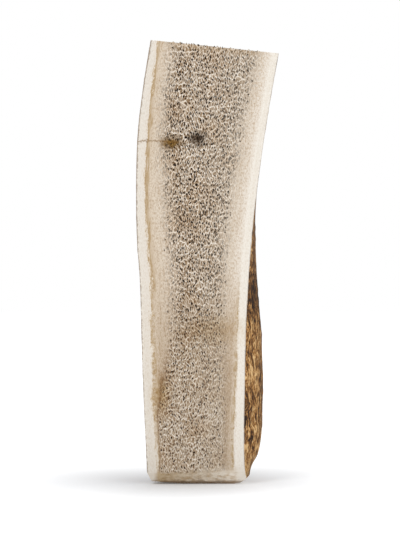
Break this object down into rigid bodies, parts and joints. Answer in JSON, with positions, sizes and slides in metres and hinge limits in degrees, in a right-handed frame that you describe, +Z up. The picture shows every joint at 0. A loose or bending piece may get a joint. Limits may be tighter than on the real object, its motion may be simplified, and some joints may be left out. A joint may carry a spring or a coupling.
{
  "type": "split elk antler",
  "caption": "Length of antler beam sawn lengthwise, with a flat spongy-cored face and a furrowed bark back, standing on its cut foot; a long-lasting dog chew or a craft blank.",
  "frame": {"origin": "centre of the bounding box's underside, on the surface that the antler stands on", "axes": "+Z up the beam from the cut foot, -Y out of the flat sawn face, +X across that face to its right as seen from in front"},
  "size_m": [0.057, 0.027, 0.1778],
  "materials": {
    "antler": "matt dry bone: cream and white dense bone round a grey-brown porous core on the sawn face, brown streaked bark on the back"
  },
  "bodies": {
    "root": {"split_antler": "antler"}
  },
  "joints": []
}
